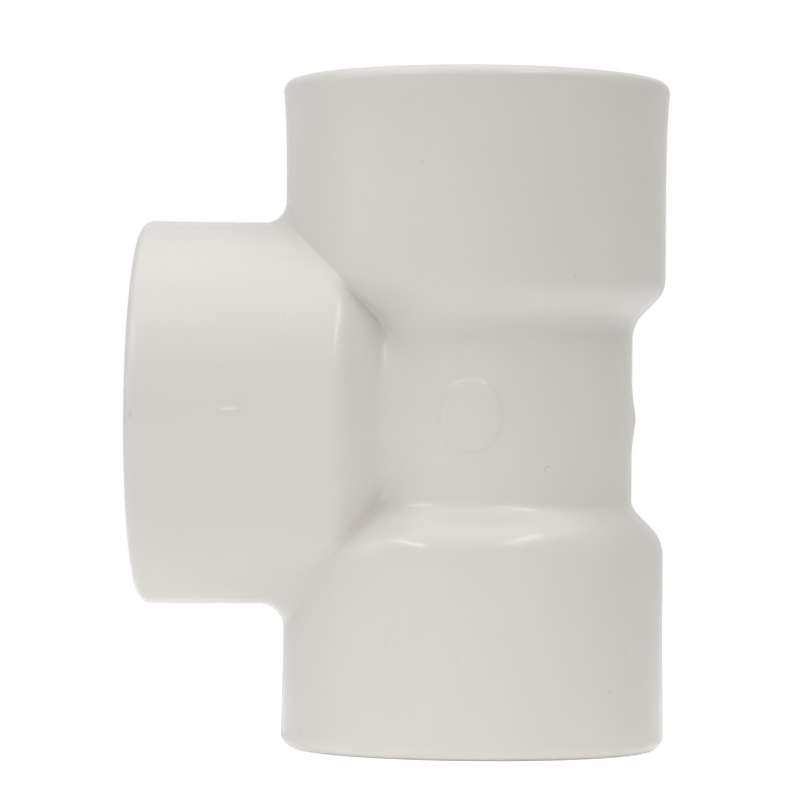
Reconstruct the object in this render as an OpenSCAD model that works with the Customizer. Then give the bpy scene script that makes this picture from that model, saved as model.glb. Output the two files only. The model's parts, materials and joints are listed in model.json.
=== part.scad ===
// Equal tee for plain-ended overflow pipe.
// The run stands along +Z with its lower rim on z = 0, and the branch points along -X.
// The real tee is one moulding. It is drawn as four solids that meet at the pipe stops:
// the body with its waterways, and the upper, lower and branch sockets.

/* [Pipe] */
// Outside diameter of the pipe
pipe_d = 21.5; // [15:0.5:40]
// Gap all round between the pipe and its socket
pipe_gap = 0.1; // [0.05:0.05:0.4]

/* [Sockets] */
// Depth of a socket, from its rim to the pipe stop
socket_depth = 10.9; // [8:0.1:25]
// Wall of a socket
socket_wall = 2.15; // [1.6:0.05:3.5]
// Chamfer inside the rim that leads the pipe in
lead_in = 0.4; // [0.2:0.1:0.6]
// Rounding on the outside of the rim
rim_round = 0.9; // [0.3:0.1:1]
// How far the upper lip flares out
upper_flare = 0.2; // [0:0.02:0.4]
// How far the lower and branch lips flare out
lip_flare = 0.08; // [0:0.02:0.4]
// Length of the flare behind a rim
flare_length = 4; // [2:0.5:6]

/* [Body] */
// Diameter of the waterway
waterway_d = 17.5; // [12:0.5:18.5]
// Wall of the barrel
barrel_wall = 2; // [1.4:0.1:3]
// Distance from a pipe stop to the side of the pipe that crosses it
stop_offset = 1; // [0.8:0.1:4]
// Widening of the waterway at a pipe stop
throat_flare = 0.9; // [0.3:0.1:1.2]
// Length of that widening
throat_length = 2.2; // [1:0.1:2.6]
// Distance from the centre of the tee to the foot of a shoulder
shoulder_foot = 6.2; // [4:0.1:7]
// Slope of a shoulder, from the axis of its arm
shoulder_angle = 45; // [35:1:60]
// Fillet at the foot of a shoulder
shoulder_fillet = 2.3; // [0.5:0.1:3]
// Rounding at the top of a shoulder
shoulder_round = 2.3; // [0.5:0.1:3]

/* [Moulding marks] */
// Diameter of the raised disc on the front of the barrel
disc_d = 4.5; // [2:0.1:7]
// Height of that disc
disc_h = 0.12; // [0.05:0.01:0.4]
// Diameter of the gate pip on the back of the barrel
pip_d = 4.4; // [2:0.1:7]
// Height of that pip
pip_h = 0.25; // [0.05:0.05:0.6]
// Diameter of its cut tip
pip_tip_d = 0.6; // [0.2:0.1:1.5]

/* [Hidden] */

$fn = 96;
arc_steps = 8;
pvc_white = [0.88, 0.87, 0.84];

bore_r = pipe_d / 2 + pipe_gap;
socket_r = bore_r + socket_wall;
waterway_r = waterway_d / 2;
barrel_r = waterway_r + barrel_wall;
stop_z = pipe_d / 2 + stop_offset;
arm_length = stop_z + socket_depth;
shoulder_top = shoulder_foot + (socket_r - barrel_r) / tan(shoulder_angle);
// Larger than the tee, for cuts that pass right through it
reach = 2 * (arm_length + socket_r);
// Overshoot that keeps a cut clear of the face it opens
over = 1;

// Points of an arc about a centre, between two angles
function arc(centre, radius, from, to) = [
    for (i = [0 : arc_steps])
        let (angle = from + (to - from) * i / arc_steps)
            centre + radius * [cos(angle), sin(angle)]
];

// Outline of one arm, as [radius, distance from the centre of the tee]
function arm_outline(flare) = let (
    half_turn = tan(shoulder_angle / 2),
    lip_r = socket_r + flare,
    straight_end = arm_length - flare_length
) concat(
    [[0, 0], [barrel_r, 0]],
    arc([barrel_r + shoulder_fillet, shoulder_foot - shoulder_fillet * half_turn],
        shoulder_fillet, 180, 180 - shoulder_angle),
    arc([socket_r - shoulder_round, shoulder_top + shoulder_round * half_turn],
        shoulder_round, -shoulder_angle, 0),
    [for (i = [0 : arc_steps])
        let (t = i / arc_steps)
            [socket_r + flare * t * t, straight_end + t * (flare_length - rim_round)]],
    arc([lip_r - rim_round, arm_length - rim_round], rim_round, 0, 90),
    [[0, arm_length]]
);

// The arm between the centre of the tee and its pipe stop, solid
module arm_root() {
    rotate_extrude() intersection() {
        polygon(arm_outline(0));
        square([reach, stop_z]);
    }
}

// The arm beyond its pipe stop, bored for the pipe
module arm_socket(flare) {
    rotate_extrude() difference() {
        polygon(arm_outline(flare));
        square([reach, stop_z]);
        square([bore_r, arm_length + over]);
        polygon([[bore_r, arm_length - lead_in], [bore_r, arm_length + over],
            [bore_r + lead_in + over, arm_length + over]]);
    }
}

// Waterway of one arm, widened into a throat at the pipe stop
module arm_waterway() {
    cylinder(r = waterway_r, h = stop_z + over);
    translate([0, 0, stop_z - throat_length])
        cylinder(r1 = waterway_r, r2 = waterway_r + throat_flare, h = throat_length);
    translate([0, 0, stop_z])
        cylinder(r = waterway_r + throat_flare, h = over);
}

// Turns an arm from +Z to the lower end of the run, or to the branch
module to_lower() { mirror([0, 0, 1]) children(); }
module to_branch() { rotate([0, -90, 0]) children(); }

// Puts the lower rim on z = 0
module stand() { translate([0, 0, arm_length]) children(); }

// The space nearer to the branch than to the run: equal arms meet on its two mitre planes
module branch_side() {
    rotate([90, 0, 0])
        linear_extrude(height = reach, center = true)
            polygon([[0, 0], [-reach, reach], [-reach, -reach]]);
}

// Raised disc that follows the front of the barrel
module front_disc() {
    intersection() {
        cylinder(r = barrel_r + disc_h, h = disc_d, center = true);
        translate([0, -waterway_r, 0])
            rotate([90, 0, 0]) cylinder(d = disc_d, h = reach);
    }
}

// Low cone on a round foot, which the moulding gate leaves on the back of the barrel
module gate_pip() {
    rotate([0, 90, 0]) {
        translate([0, 0, waterway_r + barrel_wall / 2])
            cylinder(d = pip_d, h = barrel_wall / 2);
        translate([0, 0, barrel_r])
            cylinder(d1 = pip_d, d2 = pip_tip_d, h = pip_h);
    }
}

module tee_body() {
    color(pvc_white) stand() difference() {
        union() {
            difference() {
                union() {
                    arm_root();
                    to_lower() arm_root();
                }
                branch_side();
            }
            intersection() {
                to_branch() arm_root();
                branch_side();
            }
            front_disc();
            gate_pip();
        }
        arm_waterway();
        to_lower() arm_waterway();
        to_branch() arm_waterway();
    }
}

module upper_run_socket() {
    color(pvc_white) stand() difference() {
        arm_socket(upper_flare);
        branch_side();
    }
}

module lower_run_socket() {
    color(pvc_white) stand() difference() {
        to_lower() arm_socket(lip_flare);
        branch_side();
    }
}

module branch_socket() {
    color(pvc_white) stand() intersection() {
        to_branch() arm_socket(lip_flare);
        branch_side();
    }
}

tee_body();
upper_run_socket();
lower_run_socket();
branch_socket();
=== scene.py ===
# %% [markdown]
# # A moulded tee for overflow pipe
#
# The object is one white plastic moulding: an upright run with a branch to the left, and a plain
# socket on each of the three arms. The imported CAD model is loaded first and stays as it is. Everything
# below is built around it in the same frame: metres, +Z up along the run, -X out of the branch, and
# -Y towards the camera.

# %% Load the fixed frame
import json
import math

import bmesh
import bpy
from mathutils import Matrix, Vector


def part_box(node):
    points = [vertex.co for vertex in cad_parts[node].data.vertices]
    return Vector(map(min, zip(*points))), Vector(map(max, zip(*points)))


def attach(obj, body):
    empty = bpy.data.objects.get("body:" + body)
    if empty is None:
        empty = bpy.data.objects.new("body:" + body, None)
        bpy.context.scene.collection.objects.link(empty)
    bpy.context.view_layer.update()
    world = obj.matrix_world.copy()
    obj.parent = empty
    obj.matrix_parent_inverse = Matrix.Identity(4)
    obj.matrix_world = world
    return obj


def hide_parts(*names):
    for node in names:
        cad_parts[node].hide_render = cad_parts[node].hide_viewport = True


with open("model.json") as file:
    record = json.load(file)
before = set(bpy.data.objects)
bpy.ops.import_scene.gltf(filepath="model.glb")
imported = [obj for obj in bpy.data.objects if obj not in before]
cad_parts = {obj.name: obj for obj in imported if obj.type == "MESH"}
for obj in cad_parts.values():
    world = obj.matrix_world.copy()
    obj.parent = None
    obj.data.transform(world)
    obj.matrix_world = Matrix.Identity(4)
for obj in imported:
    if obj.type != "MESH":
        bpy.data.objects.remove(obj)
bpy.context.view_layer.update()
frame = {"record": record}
MM = 0.001

# %% [markdown]
# ## Sizes
#
# What the frame knows is read from it: how far the arms reach, how wide the sockets are, where the
# pipes stop and how wide the bores are. The rest are the moulding's own roundings and walls, in
# millimetres, as they measure on the photograph at the same scale. Inside, where the photograph shows
# nothing, they follow the CAD model.

# %% Sizes that the whole tee shares
mounts = {mount["name"]: mount for mount in frame["record"]["mounts"]}
centre = Vector((0, 0, mounts["branch_pipe_bore"]["pos_m"][2]))
body_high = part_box("tee_body")[1]
upper_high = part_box("upper_run_socket")[1]
socket_radius = body_high.y
SIZES = {
    "Arm Length": upper_high.z - centre.z,
    "Stop": body_high.z - centre.z,
    "Bore Radius": mounts["branch_pipe_bore"]["dims"]["r_mm"] * MM,
    "Waterway Radius": 8.75 * MM,
    "Throat Radius": 9.65 * MM,
    "Throat Length": 2.2 * MM,
    "Shoulder Angle": math.radians(45),
    "Lead In": 0.4 * MM,
    "Crease": 0.22 * MM,
    "Upper Corner": 1.45 * MM,
    "Upper Corner Reach": 3.5 * MM,
    "Lower Corner": 1.6 * MM,
    "Lower Corner Reach": 7.8 * MM,
}
print("centre:", centre, "socket radius:", socket_radius)

# %% [markdown]
# Each arm also has sizes of its own. The shoulder starts at its foot, with a fillet, and ends in a round.
# The socket flares from there to its lip, early or late as its curl says, and the rim is rounded.

# %% Sizes of each arm
ARM_SIZES = {
    "Upper": {
        "Barrel": 10.69 * MM,
        "Foot": 6.22 * MM,
        "Fillet": 2.4 * MM,
        "Socket": socket_radius - 0.1 * MM,
        "Lip": socket_radius + 0.14 * MM,
        "Round": 2.05 * MM,
        "Rim": 0.75 * MM,
        "Curl": 6.0,
    },
    "Lower": {
        "Barrel": 10.69 * MM,
        "Foot": 6.18 * MM,
        "Fillet": 1.3 * MM,
        "Socket": socket_radius - 0.15 * MM,
        "Lip": socket_radius,
        "Round": 2.75 * MM,
        "Rim": 1.1 * MM,
        "Curl": 2.0,
    },
    "Branch": {
        "Barrel": 10.52 * MM,
        "Foot": 5.98 * MM,
        "Fillet": 1.5 * MM,
        "Socket": socket_radius - 0.01 * MM,
        "Lip": socket_radius + 0.06 * MM,
        "Round": 2.3 * MM,
        "Rim": 0.8 * MM,
        "Curl": 2.0,
    },
}


def in_words(name, size):
    """A size with its unit."""
    if name.endswith("Angle"):
        return f"{name}: {math.degrees(size):.1f} degrees"
    if name.endswith("Curl"):
        return f"{name}: power {size:.1f}"
    return f"{name}: {size / MM:.3f} mm"


for arm, sizes in ARM_SIZES.items():
    SIZES.update({f"{arm} {part}": size for part, size in sizes.items()})
for name, size in SIZES.items():
    print(in_words(name, size))

# %% [markdown]
# ## Camera
#
# The camera comes first, so that every later step can be judged in the picture. A long lens stands in
# front of the tee, two degrees to the right and one degree low, so the branch points slightly away. It
# is rolled by half a degree. The tee's centre sits right of the middle of the picture, so the camera
# is moved sideways rather than shifted.

# %% Stand the camera in front
PICTURE = 800
PIXEL = 0.06808 * MM
SENSOR = 36.0
DISTANCE = 271.0 * MM
CLIP_START = 10.0 * MM
AZIMUTH = math.radians(2.28)
ELEVATION = math.radians(-0.945)
ROLL = math.radians(0.494)
CENTRE_IN_PICTURE = (474.3, 415.0)


def direction(azimuth, elevation):
    """The way from the tee to something at this bearing. 0, 0 is straight in front."""
    return Vector((
        math.sin(azimuth) * math.cos(elevation),
        -math.cos(azimuth) * math.cos(elevation),
        math.sin(elevation),
    ))


def add_camera():
    """A camera whose picture holds the tee's centre at the named pixel."""
    back = direction(AZIMUTH, ELEVATION)
    turned = back.to_track_quat("Z", "Y").to_matrix() @ Matrix.Rotation(ROLL, 3, "Z")
    across = (CENTRE_IN_PICTURE[0] - PICTURE / 2) * PIXEL
    down = (CENTRE_IN_PICTURE[1] - PICTURE / 2) * PIXEL
    data = bpy.data.cameras.new("front_camera")
    data.sensor_width = SENSOR
    data.lens = SENSOR * DISTANCE / (PICTURE * PIXEL)
    data.clip_start = CLIP_START
    camera = bpy.data.objects.new("front_camera", data)
    place = centre - turned @ Vector((across, -down, -DISTANCE))
    camera.matrix_world = Matrix.Translation(place) @ turned.to_4x4()
    bpy.context.collection.objects.link(camera)
    bpy.context.scene.camera = camera
    return camera


camera = add_camera()
print(f"lens {camera.data.lens:.1f} mm, at {tuple(round(v, 4) for v in camera.location)}")

# %% [markdown]
# ## Sums written as sums
#
# The tee's skin follows a rule: three turned arms, joined by creases of a known radius. Geometry Nodes
# can hold that rule, but a formula wired node by node is hard to read. A wire, below, is one value on
# its way through a tree, and arithmetic between wires adds the Math nodes.

# %% A wire


class Wire:
    """One value on its way through a node tree."""

    def __init__(self, socket):
        self.socket = socket
        self.tree = socket.id_data

    def __add__(self, other):
        return maths("ADD", self, other)

    def __radd__(self, other):
        return maths("ADD", other, self)

    def __sub__(self, other):
        return maths("SUBTRACT", self, other)

    def __rsub__(self, other):
        return maths("SUBTRACT", other, self)

    def __mul__(self, other):
        return maths("MULTIPLY", self, other)

    def __rmul__(self, other):
        return maths("MULTIPLY", other, self)

    def __truediv__(self, other):
        return maths("DIVIDE", self, other)


def plug(value, socket):
    """Links a wire to a socket, or writes a plain value on it."""
    if isinstance(value, Wire):
        value.tree.links.new(value.socket, socket)
    else:
        socket.default_value = value


def add_node(tree, kind, inputs=None, **settings):
    """Adds a node to a tree of either sort and gives back a wire from each output."""
    node = tree.nodes.new(kind)
    for name, setting in settings.items():
        setattr(node, name, setting)
    for label, value in (inputs or {}).items():
        plug(value, node.inputs[label])
    return [Wire(socket) for socket in node.outputs]


def maths(operation, *values):
    tree = next(value.tree for value in values if isinstance(value, Wire))
    return add_node(tree, "ShaderNodeMath", dict(enumerate(values)), operation=operation)[0]


# %% Sums that come back often


def root(value):
    return maths("SQRT", value)


def limit(value, low, high):
    return maths("MAXIMUM", maths("MINIMUM", value, high), low)


def pick(test, yes, no):
    """yes where test is 1, and no where it is 0."""
    return no + (yes - no) * test


def ease(value):
    """A smooth step from 0 to 1, for a value that is limited to that range first."""
    step = limit(value, 0.0, 1.0)
    return step * step * (3.0 - 2.0 * step)


# %% A tree with named inputs and outputs


class Tree:
    """A Geometry Nodes tree with named inputs and outputs."""

    def __init__(self, name, inputs, outputs):
        self.tree = bpy.data.node_groups.new(name, "GeometryNodeTree")
        for in_out, sockets in (("INPUT", inputs), ("OUTPUT", outputs)):
            for label, kind in sockets.items():
                self.tree.interface.new_socket(
                    name=label, in_out=in_out, socket_type=f"NodeSocket{kind}"
                )
        self.given = self.tree.nodes.new("NodeGroupInput")
        self.result = self.tree.nodes.new("NodeGroupOutput")

    def value(self, label):
        return Wire(self.given.outputs[label])

    def values(self, *labels):
        return [self.value(label) for label in labels]

    def add(self, kind, inputs=None, **settings):
        return add_node(self.tree, kind, inputs, **settings)

    def group(self, inner, **given):
        """Places another tree here. Inputs that aren't given come from this tree's own, by name."""
        node = self.tree.nodes.new("GeometryNodeGroup")
        node.node_tree = inner.tree
        for socket in node.inputs:
            value = given.get(socket.name.replace(" ", "_").lower())
            plug(self.value(socket.name) if value is None else value, socket)
        return [Wire(socket) for socket in node.outputs]

    def join(self, *parts):
        node = self.tree.nodes.new("GeometryNodeJoinGeometry")
        for part in parts:
            plug(part, node.inputs["Geometry"])
        return Wire(node.outputs["Geometry"])

    def vector(self, x, y, z):
        return self.add("ShaderNodeCombineXYZ", {"X": x, "Y": y, "Z": z})[0]

    def scaled(self, vector, factor):
        return self.add("ShaderNodeVectorMath", {0: vector, "Scale": factor}, operation="SCALE")[0]

    def finish(self, **outputs):
        for label, value in outputs.items():
            plug(value, self.result.inputs[label.title()])
        print(f"{self.tree.name}: {len(self.tree.nodes)} nodes")
        return self


def floats(*labels):
    return {label: "Float" for label in labels}


# %% [markdown]
# ## The outline of one arm
#
# All three arms share one outline: a barrel, a hollow fillet, a 45 degree cone, a rounded shoulder and
# a socket that flares a little towards its lip. Each arm has its own roundings, and the branch's barrel
# is slightly narrower. The outline could be drawn as a curve and spun, but a formula of the distance
# along the arm gives the radius anywhere, and its slope too, which the creases need.

# %% The arm's radius at a distance along it
SHARED = floats("Shoulder Angle", "Arm Length")


def make_arm_outline():
    """The radius at a distance along the arm, and the sine of the skin's slope there."""
    arm = Tree(
        "arm_outline",
        {**floats("Along", *ARM_SIZES["Upper"]), **SHARED},
        floats("Radius", "Lean"),
    )
    along = arm.value("Along")
    barrel, foot, fillet, socket, lip, rounding, rim, curl = arm.values(*ARM_SIZES["Upper"])
    angle, length = arm.values(*SHARED)
    sine = maths("SINE", angle)
    slope = maths("TANGENT", angle)
    half = maths("TANGENT", angle * 0.5)

    fillet_start = foot - fillet * half
    cone_start = fillet_start + fillet * sine
    round_end = foot + (socket - barrel) / slope + rounding * half
    cone_end = round_end - rounding * sine

    hollow = limit(along - fillet_start, 0.0, fillet * sine)
    hollow_rise = fillet - root(fillet * fillet - hollow * hollow)
    cone_rise = limit(along - cone_start, 0.0, cone_end - cone_start) * slope
    crown = limit(round_end - along, 0.0, rounding * sine)
    crown_rise = root(rounding * rounding - crown * crown) - rounding * maths("COSINE", angle)
    open_part = limit((along - round_end) / (length - rim - round_end), 0.0, 1.0)
    flare = (lip - socket) * maths("POWER", open_part, curl)
    radius = barrel + hollow_rise + cone_rise + crown_rise + flare
    lean = maths("MINIMUM", hollow / fillet, crown / rounding)
    return arm.finish(radius=radius, lean=lean)


arm_outline = make_arm_outline()

# %% [markdown]
# ## The distance to the skin, with rolled creases
#
# Where the branch meets the run, the mould has a narrow fillet, which grows to a soft round at the two
# corners beside the branch. A Bevel modifier could round a hard crease, but its width would jump where
# the crease dies out on the front of the barrel. So the distance to both arms is worked out, and where
# both are small a rolling ball takes over. The ball grows as the two surfaces come into line, so the
# fillet keeps its width and fades out softly.

# %% The distance from a point to the tee
SKIN = floats(
    "Crease", "Upper Corner", "Upper Corner Reach", "Lower Corner", "Lower Corner Reach",
    *(f"{arm} {part}" for arm, sizes in ARM_SIZES.items() for part in sizes),
)
STEEPEST_MATCH = 0.995
FAINT_MATCH = 0.9
CORNER_POWER = 6.0


def make_tee_distance():
    """How far a point lies outside the skin. Match is the cosine between the two arms' surfaces."""
    tee = Tree("tee_distance", {"Place": "Vector", **SHARED, **SKIN}, floats("Distance"))
    x, y, z = tee.add("ShaderNodeSeparateXYZ", {"Vector": tee.value("Place")})
    upper_half = maths("GREATER_THAN", z, 0.0)
    run_wide = root(x * x + y * y)
    branch_wide = root(y * y + z * z)
    height = maths("ABSOLUTE", z)

    run_sizes = {
        part.lower(): pick(upper_half, tee.value(f"Upper {part}"), tee.value(f"Lower {part}"))
        for part in ARM_SIZES["Upper"]
    }
    branch_sizes = {part.lower(): tee.value(f"Branch {part}") for part in ARM_SIZES["Branch"]}
    run_radius, run_lean = tee.group(arm_outline, along=height, **run_sizes)
    branch_radius, branch_lean = tee.group(arm_outline, along=0.0 - x, **branch_sizes)
    run_level = root(1.0 - run_lean * run_lean)
    branch_level = root(1.0 - branch_lean * branch_lean)
    from_run = (run_wide - run_radius) * run_level
    from_branch = (branch_wide - branch_radius) * branch_level

    match = limit(
        run_level * branch_lean * x / run_wide
        + run_level * branch_level * y * y / (run_wide * branch_wide)
        - run_lean * branch_level * height / branch_wide,
        -STEEPEST_MATCH,
        STEEPEST_MATCH,
    )
    corner = pick(upper_half, tee.value("Upper Corner"), tee.value("Lower Corner"))
    reach = pick(upper_half, tee.value("Upper Corner Reach"), tee.value("Lower Corner Reach"))
    near_corner = maths("EXPONENT", 0.0 - maths("POWER", maths("ABSOLUTE", y) / reach, CORNER_POWER))
    width = pick(near_corner, corner, tee.value("Crease"))
    opening = maths("MINIMUM", match, FAINT_MATCH)
    ball = width * root((1.0 + opening) / (1.0 - opening))
    run_gap = from_run - ball
    branch_gap = from_branch - ball
    in_crease = maths("LESS_THAN", run_gap, match * branch_gap) * maths(
        "LESS_THAN", branch_gap, match * run_gap
    )
    to_ball = run_gap * run_gap + branch_gap * branch_gap - 2.0 * match * run_gap * branch_gap
    rolled = ball - root(to_ball / (1.0 - match * match))
    joined = pick(in_crease, rolled, maths("MINIMUM", from_run, from_branch))
    distance = pick(maths("GREATER_THAN", x, 0.0), from_run, joined)
    return tee.finish(distance=distance)


tee_distance = make_tee_distance()

# %% [markdown]
# ## Rays from the tee's centre
#
# The skin is star-shaped: a ray from the centre meets it once. So each arm is a grid of rays, in columns
# around the arm and rows along it, and the rows start on the mitre plane, where the arm meets its
# neighbours. Columns crowd together at the front, the back and the sides, and rows near the creases,
# because the small marks and the creases are there. Rays of neighbouring arms coincide on the mitres,
# so merging by distance closes the skin without a seam.

# %% A grid of rays for one arm
CROWDING = 0.6
NEAR_CREASE = 0.7
SIDES = 4


def column_grid(tree, rows):
    """A flat grid, with each column's direction around the arm and each row's share of the way along."""
    grid = tree.add(
        "GeometryNodeMeshGrid",
        {"Size X": 1.0, "Size Y": 1.0, "Vertices X": tree.value("Columns") + 1.0, "Vertices Y": rows},
    )[0]
    place = tree.add("GeometryNodeInputPosition")[0]
    u, v, _ = tree.add("ShaderNodeSeparateXYZ", {"Vector": place})
    turn = (u + 0.5) * math.tau
    angle = turn - maths("SINE", turn * SIDES) * (CROWDING / SIDES)
    return grid, maths("COSINE", angle), maths("SINE", angle), v + 0.5


def place_points(tree, grid, position):
    return tree.add("GeometryNodeSetPosition", {"Geometry": grid, "Position": position})[0]


def keep_as(tree, mesh, name, value):
    """Stores a vector on the mesh's points under a name."""
    return tree.add(
        "GeometryNodeStoreNamedAttribute",
        {"Geometry": mesh, "Name": name, "Value": value},
        data_type="FLOAT_VECTOR",
    )[0]


def make_arm_rays():
    """Each point is a ray's direction: one unit out from the arm's axis, and some way along it."""
    rays = Tree(
        "arm_rays",
        {"Columns": "Int", "Rows": "Int", **floats("Reach", "Is Branch")},
        {"Mesh": "Geometry"},
    )
    grid, side, front, share = column_grid(rays, rays.value("Rows"))
    run_start = maths("MAXIMUM", 0.0 - side, 0.0)
    start = pick(rays.value("Is Branch"), maths("ABSOLUTE", side), run_start)
    pace = share * (1.0 - NEAR_CREASE) + share * share * NEAR_CREASE
    reach = start + (rays.value("Reach") - start) * pace
    mesh = place_points(rays, grid, rays.vector(side, front, reach))
    return rays.finish(mesh=mesh)


arm_rays = make_arm_rays()

# %% [markdown]
# ## Small raised marks
#
# Three things stand proud of the plain skin: a bare oval roundel on the front of the barrel, the low
# stump of the gate where the plastic came in, opposite the branch, and a hair of flash along the line
# where the mould halves met. They could be separate pieces laid on top, but on the real part they are
# the same plastic, so they lift the skin itself.

# %% The height of the marks at a point
MARKS = {
    "Roundel X": 0.0 * MM,
    "Roundel Z": -0.19 * MM,
    "Roundel Half Width": 2.07 * MM,
    "Roundel Half Height": 2.39 * MM,
    "Roundel Height": 0.15 * MM,
    "Roundel Edge": 0.28 * MM,
    "Gate Z": -0.2 * MM,
    "Gate Radius": 2.45 * MM,
    "Gate Height": 0.3 * MM,
    "Gate Tip": 0.12,
    "Flash Height": 0.025 * MM,
    "Flash Width": 0.16 * MM,
    "Flash Fade": 1.5 * MM,
}
GATE_POWER = 1.5


def make_raised_marks():
    """How far the marks lift the skin at a point."""
    marks = Tree(
        "raised_marks",
        {"Place": "Vector", **floats("Arm Length", "Lower Rim", *MARKS)},
        floats("Height"),
    )
    x, y, z = marks.add("ShaderNodeSeparateXYZ", {"Vector": marks.value("Place")})
    across = (x - marks.value("Roundel X")) / marks.value("Roundel Half Width")
    upward = (z - marks.value("Roundel Z")) / marks.value("Roundel Half Height")
    inside = 1.0 - root(across * across + upward * upward)
    edge = inside * marks.value("Roundel Half Width") / marks.value("Roundel Edge") + 0.5
    roundel = ease(edge) * marks.value("Roundel Height") * maths("LESS_THAN", y, 0.0)

    gate_up = z - marks.value("Gate Z")
    gate_off = root(y * y + gate_up * gate_up) / marks.value("Gate Radius")
    tip = marks.value("Gate Tip")
    gate_rise = limit(1.0 - root(gate_off * gate_off + tip * tip), 0.0, 1.0)
    gate = maths("POWER", gate_rise, GATE_POWER) * marks.value("Gate Height")
    gate = gate * maths("GREATER_THAN", x, 0.0)

    off_line = y / marks.value("Flash Width")
    line = maths("EXPONENT", 0.0 - off_line * off_line)
    along = maths("MAXIMUM", maths("ABSOLUTE", z), 0.0 - x)
    to_rim = marks.value("Arm Length") - marks.value("Lower Rim") - along
    flash = line * ease(to_rim / marks.value("Flash Fade")) * marks.value("Flash Height")
    return marks.finish(height=roundel + gate + flash)


raised_marks = make_raised_marks()

# %% [markdown]
# ## Waterways and mouths
#
# Inside, a waterway runs through each arm and opens a little into a throat at the pipe stop. Each mouth
# has a rounded lip, a flat rim, a small lead-in and the bore that the pipe slides into, down to the
# stop. Both are turned shapes, so they reuse the same columns as the skin and weld to it.

# %% The waterway of one arm
WATERWAY = floats("Waterway Radius", "Throat Radius", "Throat Length", "Stop")


def make_arm_waterway():
    """The waterway's wall, from the mitre planes out to the pipe stop."""
    way = Tree(
        "arm_waterway",
        {"Columns": "Int", "Rows": "Int", "Is Branch": "Float", **WATERWAY},
        {"Mesh": "Geometry"},
    )
    radius, throat, throat_length, stop = way.values(*WATERWAY)
    rays = way.group(arm_rays, reach=stop / throat)[0]
    ray = way.add("GeometryNodeInputPosition")[0]
    _, _, reach = way.add("ShaderNodeSeparateXYZ", {"Vector": ray})
    slope = (throat - radius) / throat_length
    opened = (radius - slope * (stop - throat_length)) / (1.0 - slope * reach)
    mesh = keep_as(way, rays, "flow", ray)
    wide = maths("MAXIMUM", radius, opened)
    return way.finish(mesh=place_points(way, mesh, way.scaled(ray, wide)))


arm_waterway = make_arm_waterway()

# %% The mouth of one arm
MOUTH = floats("Lip", "Rim", "Bore Radius", "Lead In", "Arm Length", "Stop", "Throat Radius")
MOUTH_STEPS = {"round": 10, "flat": 1, "lead_in": 1, "bore": 8, "ledge": 1}
LAST_ROW = sum(MOUTH_STEPS.values())


def make_socket_mouth():
    """The mouth from the outside in: lip, rim, lead-in, bore and the ledge of the pipe stop."""
    mouth = Tree("socket_mouth", {"Columns": "Int", **MOUTH}, {"Mesh": "Geometry"})
    lip, rim, bore, lead, length, stop, throat = mouth.values(*MOUTH)
    grid, side, front, share = column_grid(mouth, LAST_ROW + 1)
    row = maths("ROUND", share * float(LAST_ROW))

    stretches = {}
    first_row = 0
    for name, steps in MOUTH_STEPS.items():
        stretches[name] = limit((row - float(first_row)) / float(steps), 0.0, 1.0)
        first_row += steps

    turn = stretches["round"] * (math.pi / 2)
    wide = lip - rim + rim * maths("COSINE", turn) - stretches["flat"] * (lip - rim - bore - lead)
    wide = wide - stretches["lead_in"] * lead - stretches["ledge"] * (bore - throat)
    along = length - rim + rim * maths("SINE", turn) - stretches["lead_in"] * lead
    along = along - stretches["bore"] * (length - lead - stop)
    mesh = keep_as(mouth, grid, "flow", mouth.vector(side, front, along / bore))
    mesh = place_points(mouth, mesh, mouth.vector(side * wide, front * wide, along))
    return mouth.finish(mesh=mesh)


socket_mouth = make_socket_mouth()

# %% [markdown]
# ## The plastic
#
# Unplasticised PVC is an off-white, slightly warm plastic with a soft sheen. Close up it isn't even: the
# melt leaves faint streaks along each arm and a few dark specks, the tool leaves a fine satin grain, and
# handling has left a nick on the branch and two short scratches on the barrel. A pale dash on the front
# of the branch is a painted highlight, where a small glint of light shows. A flat colour would look like
# a drawing, so each of these gets its own small share of the colour, the roughness or the bump. The
# streaks follow the arms, so they read the places around and along each arm that the trees store on the
# mesh as its flow. The rest reads Object coordinates.

# %% Colours, handling marks and a painted highlight
PVC_LIGHT = (0.836, 0.803, 0.761)
PVC_DARK = (0.796, 0.762, 0.719)
SPECK_DARK = (0.52, 0.5, 0.46)
# A pale colour painted as a highlight on the branch, where a small glint of light shows.
PAINTED_HIGHLIGHT_PALE = (0.905, 0.885, 0.855)
MARKS_AND_PAINTED_HIGHLIGHT = {
    # The first mark is a painted highlight: a pale dash on the front of the branch where a small glint
    # shows. The rest are handling marks.
    "painted_branch_highlight": {
        "at": (-15.7, -13.0, 22.78), "half_size": (0.5, 0.09), "colour": PAINTED_HIGHLIGHT_PALE, "strength": 1.0,
    },
    "rim_nick": {
        "at": (-22.12, -13.0, 22.4), "half_size": (0.09, 0.27), "colour": SPECK_DARK, "strength": 0.3,
    },
    "flat_scratch": {
        "at": (5.07, -9.4, 19.17), "half_size": (0.17, 0.06), "colour": SPECK_DARK, "strength": 0.3,
    },
    "upright_scratch": {
        "at": (4.86, -9.5, 18.99), "half_size": (0.06, 0.12), "colour": SPECK_DARK, "strength": 0.3,
    },
}
MARK_BLUR = 1.6
MARK_DEPTH = 1.0
MIX_FACTOR = 0
MIX_COLOURS = (6, 7)
MIX_RESULT = 2


def blend_colours(tree, factor, *colours):
    """A Mix node has sockets of several sorts under the same names, so its colours go by number."""
    node = tree.nodes.new("ShaderNodeMix")
    node.data_type = "RGBA"
    plug(factor, node.inputs[MIX_FACTOR])
    for colour, number in zip(colours, MIX_COLOURS):
        plug(colour if isinstance(colour, Wire) else (*colour, 1.0), node.inputs[number])
    return Wire(node.outputs[MIX_RESULT])


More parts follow.
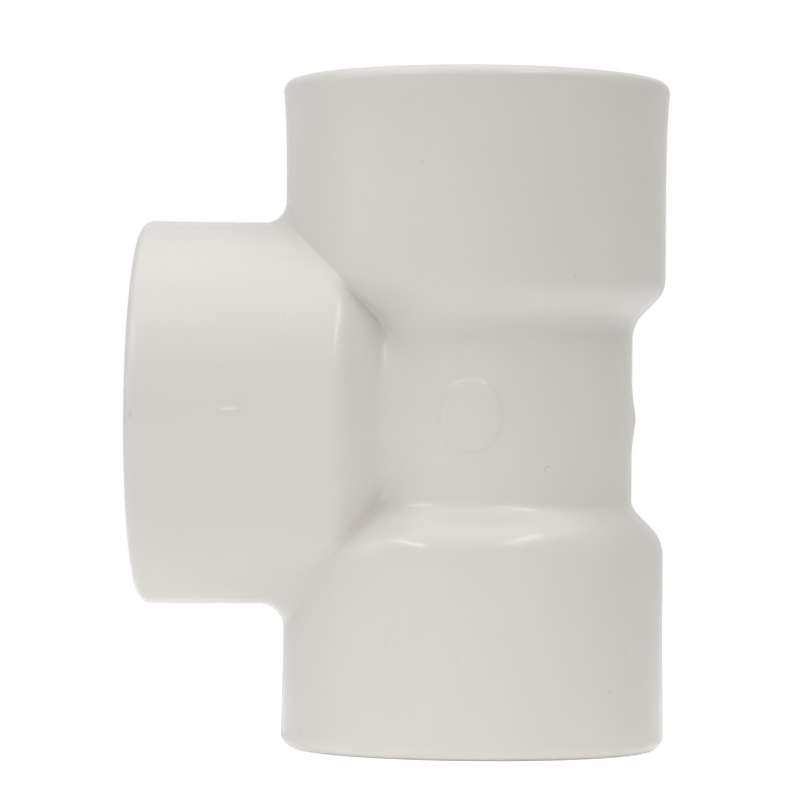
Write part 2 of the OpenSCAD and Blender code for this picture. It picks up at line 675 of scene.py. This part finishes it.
def mark_mask(tree, place, at, half_size):
    """1 on a small oval on the front, and 0 away from it. The sizes are in millimetres."""
    x, y, z = add_node(tree, "ShaderNodeSeparateXYZ", {"Vector": place})
    across = (x - at[0] * MM) / (half_size[0] * MM)
    upward = (z - at[2] * MM) / (half_size[1] * MM)
    oval = ease(MARK_BLUR - root(across * across + upward * upward))
    return oval * maths("LESS_THAN", y, (at[1] + MARK_DEPTH) * MM)


print("handling marks:", list(MARKS_AND_PAINTED_HIGHLIGHT))

# %% The PVC material
STREAKS = {"stretch": (9.0, 9.0, 0.7), "detail": 4.0, "crispness": 0.6, "tone": 0.6, "bump": 0.6}
CLOUDS = {"scale": 160.0, "tone": 0.7, "roughness": 0.06}
GRAIN = {"scale": 2600.0, "roughness": 0.04, "bump": 0.4}
SPECKS = {"scale": 2600.0, "from": 0.882, "sharpness": 25.0, "strength": 0.36}
TONE_SHIFT = 0.15
MIDDLE = 0.5
BUMP_STRENGTH = 0.06
BUMP_DEPTH = 0.05 * MM
PVC_ROUGHNESS = 0.17
PVC_IOR = 1.53
SHEEN = 0.36


def noise(tree, vector, scale, detail=2.0, roughness=0.5):
    return add_node(
        tree, "ShaderNodeTexNoise",
        {"Vector": vector, "Scale": scale, "Detail": detail, "Roughness": roughness},
    )[0]


def make_pvc():
    """The plastic, with its melt, its grain, the marks of handling and a painted highlight."""
    material = bpy.data.materials.new("off_white_pvc")
    material.use_nodes = True
    tree = material.node_tree
    shader = tree.nodes["Principled BSDF"]
    place = Wire(tree.nodes.new("ShaderNodeTexCoord").outputs["Object"])
    stored = tree.nodes.new("ShaderNodeAttribute")
    stored.attribute_name = "flow"
    along_arm = add_node(
        tree, "ShaderNodeVectorMath",
        {0: Wire(stored.outputs["Vector"]), 1: STREAKS["stretch"]},
        operation="MULTIPLY",
    )[0]
    streaks = noise(
        tree, along_arm, scale=1.0, detail=STREAKS["detail"], roughness=STREAKS["crispness"]
    )
    clouds = noise(tree, place, CLOUDS["scale"])
    grain = noise(tree, place, GRAIN["scale"])
    tone = limit(streaks * STREAKS["tone"] + clouds * CLOUDS["tone"] - TONE_SHIFT, 0.0, 1.0)
    spots = noise(tree, place, SPECKS["scale"], detail=0.0)
    specks = ease((spots - SPECKS["from"]) * SPECKS["sharpness"])
    colour = blend_colours(tree, tone, PVC_DARK, PVC_LIGHT)
    colour = blend_colours(tree, specks * SPECKS["strength"], colour, SPECK_DARK)
    # Blends in the handling marks and the painted highlight.
    for mark in MARKS_AND_PAINTED_HIGHLIGHT.values():
        mask = mark_mask(tree, place, mark["at"], mark["half_size"]) * mark["strength"]
        colour = blend_colours(tree, mask, colour, mark["colour"])
    plug(colour, shader.inputs["Base Color"])
    unevenness = (clouds - MIDDLE) * CLOUDS["roughness"]
    roughness = PVC_ROUGHNESS + unevenness + (grain - MIDDLE) * GRAIN["roughness"]
    plug(roughness, shader.inputs["Roughness"])
    height = grain * GRAIN["bump"] + streaks * STREAKS["bump"]
    bump = add_node(
        tree, "ShaderNodeBump",
        {"Height": height, "Strength": BUMP_STRENGTH, "Distance": BUMP_DEPTH},
    )[0]
    plug(bump, shader.inputs["Normal"])
    plug(PVC_IOR, shader.inputs["IOR"])
    plug(SHEEN, shader.inputs["Specular IOR Level"])
    print(f"{material.name}: {len(tree.nodes)} nodes")
    return material


pvc = make_pvc()

# %% [markdown]
# ## The whole moulding
#
# The main tree joins three arms of rays and slides every point along its ray until it lies on the skin:
# a Repeat Zone moves each point back by its distance, pass after pass. Then come the raised marks, the
# waterways and the mouths, and one merge closes it all into a single watertight skin.

# %% Put three arms together and settle them on the skin
IS_BRANCH = {"Upper": 0.0, "Lower": 0.0, "Branch": 1.0}
TURN_DOWN = (math.pi, 0.0, 0.0)
TURN_LEFT = (0.0, -math.pi / 2, 0.0)
PASSES = 44


def three_arms(tree, upper, lower, branch):
    """The lower arm and the branch are made upright like the upper arm, then turned into place."""
    down = tree.add("GeometryNodeTransform", {"Geometry": lower, "Rotation": TURN_DOWN})[0]
    left = tree.add("GeometryNodeTransform", {"Geometry": branch, "Rotation": TURN_LEFT})[0]
    return tree.join(upper, down, left)


def settle(tree, mesh, ray):
    """Moves each point along its ray, over and over, by its distance from the skin."""
    start = tree.tree.nodes.new("GeometryNodeRepeatInput")
    end = tree.tree.nodes.new("GeometryNodeRepeatOutput")
    start.pair_with_output(end)
    start.inputs["Iterations"].default_value = PASSES
    plug(mesh, start.inputs["Geometry"])
    place = tree.add("GeometryNodeInputPosition")[0]
    distance = tree.group(tee_distance, place=place)[0]
    step = tree.scaled(ray, 0.0 - distance)
    moved = tree.add(
        "GeometryNodeSetPosition", {"Geometry": Wire(start.outputs["Geometry"]), "Offset": step}
    )[0]
    plug(moved, end.inputs["Geometry"])
    return Wire(end.outputs["Geometry"])


# %% Build the moulding with Geometry Nodes
COUNTS = {"Columns": 288, "Skin Rows": 136, "Inner Rows": 16}
START_RATIO = 1.2
WELD = 0.002 * MM


def make_tee_moulding():
    """The whole tee as one closed skin."""
    tee = Tree(
        "tee_moulding",
        {**dict.fromkeys(COUNTS, "Int"), **floats(*SIZES, *MARKS), "Plastic": "Material"},
        {"Mesh": "Geometry"},
    )
    place = tee.add("GeometryNodeInputPosition")[0]

    def rays(arm):
        end = (tee.value("Arm Length") - tee.value(f"{arm} Rim")) / tee.value(f"{arm} Lip")
        mesh = tee.group(
            arm_rays, rows=tee.value("Skin Rows"), reach=end, is_branch=IS_BRANCH[arm]
        )[0]
        return keep_as(tee, mesh, "flow", place)

    skin = three_arms(tee, *(rays(arm) for arm in ARM_SIZES))
    skin = keep_as(tee, skin, "ray", place)
    ray = tee.add("GeometryNodeInputNamedAttribute", {"Name": "ray"}, data_type="FLOAT_VECTOR")[0]
    skin = place_points(tee, skin, tee.scaled(ray, tee.value("Upper Lip") * START_RATIO))
    skin = settle(tee, skin, ray)
    height = tee.group(raised_marks, place=place)[0]
    skin = tee.add("GeometryNodeSetPosition", {"Geometry": skin, "Offset": tee.scaled(ray, height)})[0]
    skin = tee.add("GeometryNodeRemoveAttribute", {"Geometry": skin, "Name": "ray"})[0]

    ways = [
        tee.group(arm_waterway, rows=tee.value("Inner Rows"), is_branch=IS_BRANCH[arm])[0]
        for arm in ARM_SIZES
    ]
    mouths = [
        tee.group(socket_mouth, lip=tee.value(f"{arm} Lip"), rim=tee.value(f"{arm} Rim"))[0]
        for arm in ARM_SIZES
    ]
    whole = tee.join(skin, three_arms(tee, *ways), three_arms(tee, *mouths))
    whole = tee.add("GeometryNodeMergeByDistance", {"Geometry": whole, "Distance": WELD})[0]
    lift = tee.add("GeometryNodeTransform", {"Geometry": whole, "Translation": tuple(centre)})[0]
    real = tee.add("GeometryNodeRealizeInstances", {"Geometry": lift})[0]
    dressed = tee.add(
        "GeometryNodeSetMaterial", {"Geometry": real, "Material": tee.value("Plastic")}
    )[0]
    return tee.finish(mesh=dressed)


def evaluate(tree, name, inputs):
    """Runs a tree on an empty mesh and gives back the result as a plain mesh."""
    holder = bpy.data.objects.new(name, bpy.data.meshes.new(name))
    bpy.context.collection.objects.link(holder)
    modifier = holder.modifiers.new(name, "NODES")
    modifier.node_group = tree.tree
    for item in tree.tree.interface.items_tree:
        if item.in_out == "INPUT":
            modifier[item.identifier] = inputs[item.name]
    evaluated = holder.evaluated_get(bpy.context.evaluated_depsgraph_get())
    mesh = bpy.data.meshes.new_from_object(evaluated)
    bpy.data.objects.remove(holder)
    return mesh


tee_moulding = make_tee_moulding()
moulding = evaluate(tee_moulding, "tee_moulding", {**COUNTS, **SIZES, **MARKS, "Plastic": pvc})
print(f"moulding: {len(moulding.vertices)} points, {len(moulding.polygons)} faces")

# %% [markdown]
# ## Four named zones
#
# The part's solids are the four zones that a fitter would name: the body and its three sockets. The
# moulding is cut a hair beyond the same planes, so that the cut misses the ledge of the pipe stop. Where
# two sockets touch, they are parted on the mitre. Each cut is capped, so every piece is a closed solid
# and the outside still looks like one moulding. Each plane is given by a point on it and the direction
# that is kept.

# %% Cut the moulding into its zones
CUT_LIFT = 0.05 * MM
ON_PLANE = 0.0001 * MM
SHARP = math.radians(38)
UP = Vector((0, 0, 1))
DOWN = Vector((0, 0, -1))
LEFT = Vector((-1, 0, 0))
cut_at = SIZES["Stop"] + CUT_LIFT
ZONES = {
    "tee_body": [(UP * cut_at, DOWN), (DOWN * cut_at, UP), (LEFT * cut_at, -LEFT)],
    "upper_run_socket": [(UP * cut_at, UP), (Vector(), UP - LEFT)],
    "lower_run_socket": [(DOWN * cut_at, DOWN), (Vector(), DOWN - LEFT)],
    "branch_socket": [(LEFT * cut_at, LEFT), (Vector(), LEFT - UP), (Vector(), LEFT - DOWN)],
}


def cut_zone(name, planes):
    """A capped copy of the moulding, on the kept side of every plane."""
    mesh_work = bmesh.new()
    mesh_work.from_mesh(moulding)
    bmesh.ops.recalc_face_normals(mesh_work, faces=mesh_work.faces)
    for point, kept in planes:
        bmesh.ops.bisect_plane(
            mesh_work,
            geom=mesh_work.verts[:] + mesh_work.edges[:] + mesh_work.faces[:],
            dist=ON_PLANE,
            plane_co=centre + point,
            plane_no=kept,
            clear_inner=True,
        )
        rim_edges = [edge for edge in mesh_work.edges if edge.is_boundary]
        bmesh.ops.triangle_fill(mesh_work, edges=rim_edges, use_beauty=True, normal=-kept)
    bmesh.ops.recalc_face_normals(mesh_work, faces=mesh_work.faces)
    open_edges = sum(not edge.is_manifold for edge in mesh_work.edges)
    mesh = bpy.data.meshes.new(name + "_skin")
    mesh_work.to_mesh(mesh)
    mesh_work.free()
    mesh.materials.append(pvc)
    mesh.shade_smooth()
    mesh.set_sharp_from_angle(angle=SHARP)
    piece = bpy.data.objects.new(name + "_skin", mesh)
    bpy.context.collection.objects.link(piece)
    mesh.calc_loop_triangles()
    print(f"{piece.name}: {len(mesh.loop_triangles)} triangles, {open_edges} open edges")
    return piece


zone_pieces = {name: cut_zone(name, planes) for name, planes in ZONES.items()}

# %% [markdown]
# ## Floor, world and lamps
#
# The tee stands on a pale floor. The camera sees the floor and the world white, and reflections see
# them dimmer. Everything else sees a matt floor and a weak, even light, so the picture has a white
# ground while the light on the tee comes from the lamps. The floor adds its matt shading to its glow,
# so only a deep shadow would show on it. The floor is small, and the white world carries on beyond its
# edge.

# %% Floor and world
FLOOR_SIZE = 0.6
FLOOR_GAP = 0.01 * MM
FLOOR_COLOUR = (0.94, 0.94, 0.94, 1.0)
FLOOR_GLOW = 0.72
REFLECTED_GLOW = 0.3
SKY = 1.0
REFLECTED_SKY = 0.7
WHITE = (1.0, 1.0, 1.0)
AMBIENT = (0.131, 0.131, 0.131)


def seen_by(tree, in_camera, in_reflections):
    """One value for rays from the camera, another for reflections and glass, and 0 for the rest."""
    path = tree.nodes.new("ShaderNodeLightPath")
    camera_ray, glossy_ray, clear_ray = (
        Wire(path.outputs[f"Is {kind} Ray"]) for kind in ("Camera", "Glossy", "Transmission")
    )
    reflected = maths("MAXIMUM", glossy_ray, clear_ray)
    return maths("MAXIMUM", camera_ray * in_camera, reflected * in_reflections)


def make_floor():
    material = bpy.data.materials.new("pale_floor")
    material.use_nodes = True
    tree = material.node_tree
    tree.nodes.clear()
    matt = add_node(tree, "ShaderNodeBsdfDiffuse", {"Color": FLOOR_COLOUR})[0]
    strength = seen_by(tree, FLOOR_GLOW, REFLECTED_GLOW)
    glow = add_node(tree, "ShaderNodeEmission", {"Strength": strength})[0]
    both = add_node(tree, "ShaderNodeAddShader", {0: matt, 1: glow})[0]
    add_node(tree, "ShaderNodeOutputMaterial", {"Surface": both})
    half = FLOOR_SIZE / 2
    mesh = bpy.data.meshes.new("pale_floor")
    corners = [(-half, -half), (half, -half), (half, half), (-half, half)]
    mesh.from_pydata([(x, y, -FLOOR_GAP) for x, y in corners], [], [(0, 1, 2, 3)])
    mesh.materials.append(material)
    floor = bpy.data.objects.new("pale_floor", mesh)
    bpy.context.collection.objects.link(floor)
    return floor


def make_world():
    world = bpy.data.worlds.new("studio")
    world.use_nodes = True
    tree = world.node_tree
    sky = blend_colours(tree, seen_by(tree, SKY, REFLECTED_SKY), AMBIENT, WHITE)
    plug(sky, tree.nodes["Background"].inputs["Color"])
    bpy.context.scene.world = world
    return world


floor = make_floor()
world = make_world()
print("floor and world:", floor.name, world.name)

# %% [markdown]
# Two strip lamps run from front to back above the table. They make the two glints on the lower shoulder
# and the line of light along the branch's shoulder, and the right one is wider and warmer. Two wide
# panels overhead give most of the light, and softer panels fill it from both sides. The table glows a
# little and a card stands low in front, so the undersides stay light. Each lamp is placed by its
# bearing from the tee's centre, in degrees, and its distance. Distances and sizes are in metres, and
# powers in watts. The two lamps under the tee lie in the gap above the floor, at different heights,
# because lamps in one plane take light from each other.

# %% Lamps
COOL = (0.982, 1.0, 1.021)
WARM = (1.0, 0.95, 0.86)
TABLE = centre.z + FLOOR_GAP * 0.6
UNDER_FOOT = centre.z + FLOOR_GAP * 0.3
LAMPS = {
    "left_strip": {"bearing": (-43, 36), "away": 0.6, "size": 0.03, "length": 0.27, "power": 0.29},
    "right_strip": {
        "bearing": (41, 50), "away": 0.6, "size": 0.055, "length": 0.4, "power": 0.4, "colour": WARM,
    },
    "overhead_front": {"bearing": (0, 65), "away": 0.6, "size": 0.9, "power": 1.17},
    "overhead": {"bearing": (0, 85), "away": 0.5, "size": 0.8, "power": 0.97},
    "left_panel": {"bearing": (-79, 59), "away": 0.5, "size": 0.45, "power": 0.245},
    "right_panel": {"bearing": (75, 70), "away": 0.5, "size": 0.45, "power": 0.31},
    "left_side": {"bearing": (-75, 22), "away": 0.5, "size": 0.3, "power": 0.29},
    "front_card": {"bearing": (0, -18), "away": 0.05, "size": 0.08, "length": 0.02, "power": 0.0008},
    "table_glow": {"bearing": (0, -90), "away": TABLE, "size": 0.12, "power": 0.0066},
    "foot_glow": {"bearing": (0, -90), "away": UNDER_FOOT, "size": 0.0262, "power": 0.00014},
}
FRONT_TO_BACK = Vector((0, 1, 0))


def add_lamp(name, bearing, away, size, power, length=None, colour=COOL):
    """A soft box that faces the tee, unseen by the camera.

    Its length runs as near front to back as facing the tee allows.
    """
    outwards = direction(*(math.radians(angle) for angle in bearing))
    sideways = outwards.cross(FRONT_TO_BACK).normalized()
    turned = Matrix((sideways.cross(outwards), sideways, outwards)).transposed()
    data = bpy.data.lights.new(name, "AREA")
    data.shape = "RECTANGLE"
    data.size = length or size
    data.size_y = size
    data.energy = power
    data.color = colour
    lamp = bpy.data.objects.new(name, data)
    lamp.matrix_world = Matrix.Translation(centre + outwards * away) @ turned.to_4x4()
    lamp.visible_camera = False
    bpy.context.collection.objects.link(lamp)
    return lamp


lamps = [add_lamp(name, **lamp) for name, lamp in LAMPS.items()]
print("lamps:", [lamp.name for lamp in lamps])

# %% [markdown]
# ## Hand the pieces to the frame
#
# Each skin stands for the CAD node of its zone and rides on the only body.

# %% Finish
for name, piece in zone_pieces.items():
    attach(piece, "root")
    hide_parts(name)

bpy.context.scene.view_settings.view_transform = "Standard"
